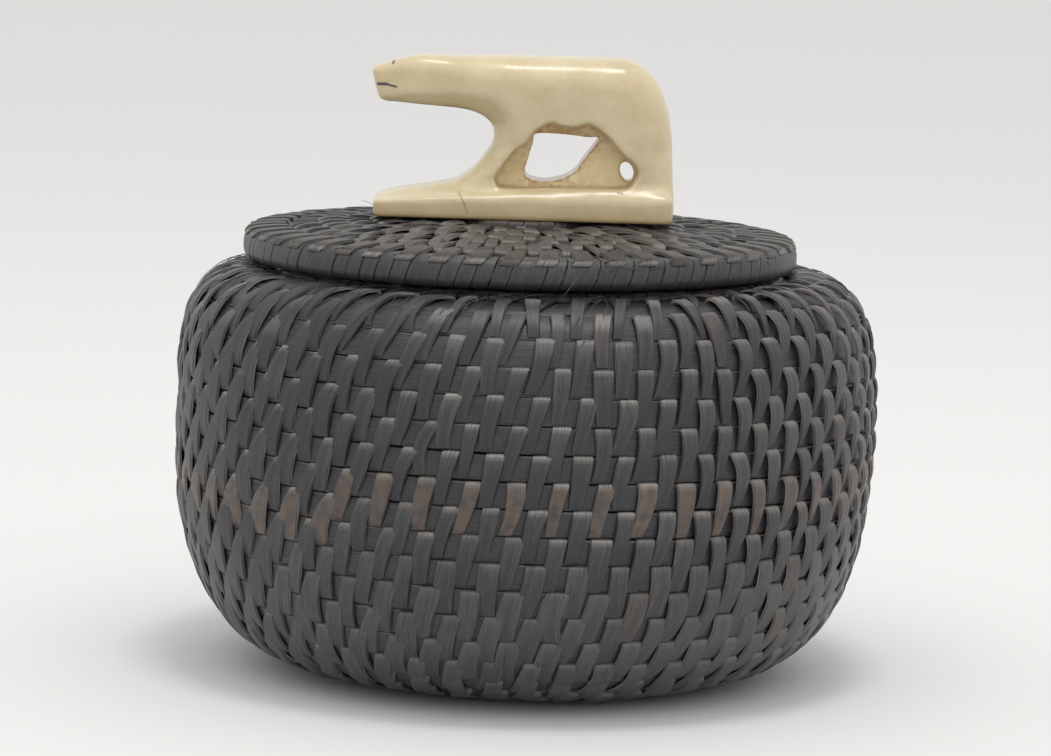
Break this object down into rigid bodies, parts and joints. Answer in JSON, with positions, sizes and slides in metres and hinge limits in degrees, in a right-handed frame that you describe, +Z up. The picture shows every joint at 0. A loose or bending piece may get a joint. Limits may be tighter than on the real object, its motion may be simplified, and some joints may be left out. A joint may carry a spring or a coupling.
{
  "type": "lidded coiled baleen basket",
  "caption": "Barrel-shaped coiled basket of dark baleen with a lift-off domed lid and a carved ivory polar bear on a plinth as its handle.",
  "frame": {"origin": "centre of the flat underside of the base starter disc, at the middle of the basket's round base", "axes": "+Z up along the basket's round axis; the bear on the lid runs along X with its nose towards -X, and its left side faces -Y"},
  "size_m": [0.1, 0.1, 0.0876],
  "materials": {
    "baleen_black": "satin, fibrous",
    "baleen_brown": "satin, fibrous",
    "ivory": "polished"
  },
  "bodies": {
    "basket": {"base_starter_disc": "ivory", "base_coil": "baleen_black", "lower_wall_coil": "baleen_black", "accent_coil": "baleen_brown", "upper_wall_coil": "baleen_black", "mouth_rim": "baleen_black"},
    "lid": {"lid_starter_disc": "ivory", "lid_coil": "baleen_black", "lid_rim": "baleen_black", "lid_flange": "baleen_black", "front_peg": "ivory", "rear_peg": "ivory", "bear_finial": "ivory"}
  },
  "joints": [
    {"name": "lid_lift", "type": "slide", "parent": "basket", "child": "lid", "axis": [0, 0, 1], "range_m": [0, 0.07]}
  ]
}
